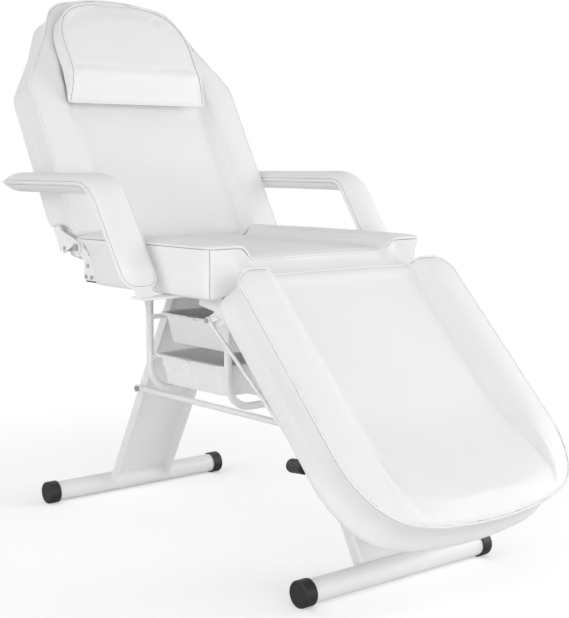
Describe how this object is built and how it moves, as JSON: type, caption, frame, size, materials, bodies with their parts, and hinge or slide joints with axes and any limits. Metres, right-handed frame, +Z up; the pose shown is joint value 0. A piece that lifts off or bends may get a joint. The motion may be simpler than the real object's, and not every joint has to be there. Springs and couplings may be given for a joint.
{
  "type": "tattoo chair",
  "caption": "Padded tattoo and facial chair with a reclining backrest, a tilting leg rest, armrests, a head pillow and sliding trays on a steel base.",
  "frame": {"origin": "on the floor under the middle of the whole chair's bounding box", "axes": "+X to the right as seen from the leg rest, +Y from the leg rest towards the backrest, +Z up"},
  "size_m": [0.8, 1.433, 1.2649],
  "materials": {
    "white_vinyl": "satin",
    "white_paint": "satin",
    "white_plastic": "gloss",
    "black_rubber": "matte",
    "zinc_steel": "satin",
    "plywood": "matte",
    "hook_tape": "matte",
    "black_plastic": "matte"
  },
  "bodies": {
    "base": {"armrest_frame_left": "white_paint", "armrest_frame_right": "white_paint", "armrest_pad_left": "white_vinyl", "armrest_pad_right": "white_vinyl", "armrest_screws": "zinc_steel", "backrest_hinge_bolt_left": "zinc_steel", "backrest_hinge_bolt_right": "zinc_steel", "front_foot_bar": "white_paint", "front_foot_cap_left": "black_rubber", "front_foot_cap_right": "black_rubber", "front_leg": "white_paint", "front_tray_hoop": "white_paint", "hoop_braces": "white_paint", "leg_hinge_pin_left": "zinc_steel", "leg_hinge_pin_right": "zinc_steel", "leg_hinge_plate_right": "white_paint", "leg_plate_screws": "zinc_steel", "leg_ratchet_plate_left": "white_paint", "rail_end_plugs": "black_plastic", "rear_foot_bar": "white_paint", "rear_foot_cap_left": "black_rubber", "rear_foot_cap_right": "black_rubber", "rear_leg": "white_paint", "rear_tray_hoop": "white_paint", "seat_board": "plywood", "seat_cushion": "white_vinyl", "seat_frame": "white_paint", "seat_frame_screws": "zinc_steel", "seat_hinge_plate_left": "white_paint", "seat_hinge_plate_right": "white_paint", "side_plate_screws": "zinc_steel", "tie_bar_left": "white_paint", "tie_bar_right": "white_paint", "tie_bolts": "zinc_steel", "tray_rails": "white_paint"},
    "backrest": {"backrest_arm_left": "white_paint", "backrest_arm_right": "white_paint", "backrest_arm_screws": "zinc_steel", "backrest_board": "plywood", "backrest_cushion": "white_vinyl", "backrest_pawl_pin_left": "zinc_steel", "backrest_pawl_pin_right": "zinc_steel", "pillow_tape_hooks": "hook_tape"},
    "backrest_pawl_left": {"backrest_pawl_left": "zinc_steel"},
    "backrest_pawl_right": {"backrest_pawl_right": "zinc_steel"},
    "head_pillow": {"head_pillow": "white_vinyl", "pillow_tape_loops": "hook_tape"},
    "leg_rest": {"leg_arm_left": "white_paint", "leg_arm_right": "white_paint", "leg_arm_screws": "zinc_steel", "leg_board": "plywood", "leg_cushion": "white_vinyl", "lever_pin": "zinc_steel"},
    "release_lever": {"lever_grip": "black_rubber", "release_lever": "white_paint"},
    "upper_tray": {"upper_tray": "white_plastic"},
    "lower_tray": {"lower_tray": "white_plastic"}
  },
  "joints": [
    {"name": "backrest_recline", "type": "hinge", "parent": "base", "child": "backrest", "pos_m": [0, 0.32258, 0.657], "axis": [1, 0, 0], "range_deg": [-60.78, 14]},
    {"name": "leg_rest_tilt", "type": "hinge", "parent": "base", "child": "leg_rest", "pos_m": [0, -0.21542, 0.576], "axis": [1, 0, 0], "range_deg": [-46.56, 13]},
    {"name": "release_lever_swing", "type": "hinge", "parent": "leg_rest", "child": "release_lever", "pos_m": [-0.262, -0.15902, 0.53085], "axis": [1, 0, 0], "range_deg": [0, 11], "stiffness_Nm_per_rad": 2.5, "springref_deg": -28.65},
    {"name": "backrest_pawl_left_swing", "type": "hinge", "parent": "backrest", "child": "backrest_pawl_left", "pos_m": [-0.28, 0.37696, 0.65179], "axis": [1, 0, 0], "range_deg": [0, 12], "stiffness_Nm_per_rad": 0.05, "springref_deg": -28.65},
    {"name": "backrest_pawl_right_swing", "type": "hinge", "parent": "backrest", "child": "backrest_pawl_right", "pos_m": [0.28, 0.37696, 0.65179], "axis": [1, 0, 0], "range_deg": [0, 12], "stiffness_Nm_per_rad": 0.05, "springref_deg": -28.65},
    {"name": "pillow_lift_off", "type": "slide", "parent": "backrest", "child": "head_pillow", "axis": [0, -0.8728, 0.4882], "range_m": [0, 0.1]},
    {"name": "upper_tray_slide", "type": "slide", "parent": "base", "child": "upper_tray", "axis": [1, 0, 0], "range_m": [-0.22, 0.22]},
    {"name": "lower_tray_slide", "type": "slide", "parent": "base", "child": "lower_tray", "axis": [1, 0, 0], "range_m": [-0.22, 0.22]}
  ]
}
